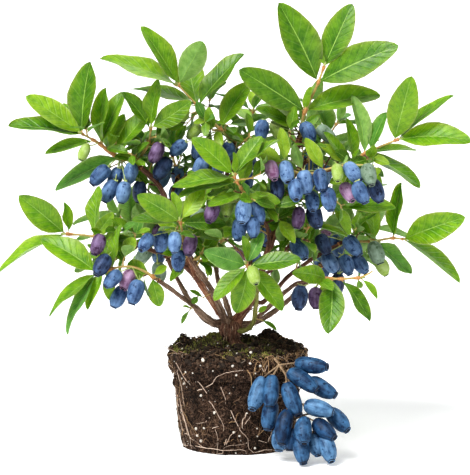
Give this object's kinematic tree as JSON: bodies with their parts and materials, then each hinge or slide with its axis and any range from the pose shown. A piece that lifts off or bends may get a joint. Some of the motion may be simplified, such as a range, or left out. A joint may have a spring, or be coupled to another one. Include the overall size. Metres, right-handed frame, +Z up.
{
  "type": "haskap berry bush on its bare root ball",
  "caption": "Young haskap bush lifted out of its pot, on a bare pot-shaped root ball, in leaf and hung with blue berries, with a picked bunch of berries leaning on the rim",
  "frame": {"origin": "middle of the flat underside of the root ball", "axes": "+Z up; +X to the right and +Y away from the viewer, seen from the front of the picture"},
  "size_m": [0.3532, 0.2399, 0.3337],
  "materials": {
    "soil": "damp peat soil laced with tan roots, with white grit and green moss",
    "bark": "thin reddish-brown bark that peels in strips",
    "leafage": "soft green leaves with pale midribs, young tan shoots and blue berries",
    "fruit": "blue berries with a pale waxy bloom"
  },
  "bodies": {
    "root": {"root_ball": "soil", "trunk": "bark", "bough_low_left": "bark", "bough_high_left": "bark", "bough_front_left": "bark", "bough_top_left": "bark", "leader": "bark", "bough_front": "bark", "bough_low_right": "bark", "bough_back_left": "bark", "bough_back": "bark", "bough_back_right": "bark", "bough_right": "bark", "bough_left": "bark", "bough_front_middle": "bark", "bough_upper_right": "bark", "bough_front_right": "bark", "bough_inner_right": "bark", "bough_inner_left": "bark", "bough_upper_back_left": "bark", "bough_upper_back": "bark", "bough_upper_back_right": "bark", "spray_top": "leafage", "spray_upper_left": "leafage", "spray_top_left": "leafage", "spray_upper_right": "leafage", "spray_front_right": "leafage", "spray_right": "leafage", "spray_low_right": "leafage", "spray_front_low": "leafage", "spray_front_middle": "leafage", "spray_front_left": "leafage", "spray_left": "leafage", "spray_low_left": "leafage", "spray_inner_right": "leafage", "spray_inner_left": "leafage", "spray_back_left": "leafage", "spray_back": "leafage", "spray_back_right": "leafage", "spray_upper_back_left": "leafage", "spray_upper_back": "leafage", "spray_upper_back_right": "leafage", "berry_bunch": "fruit"}
  },
  "joints": []
}
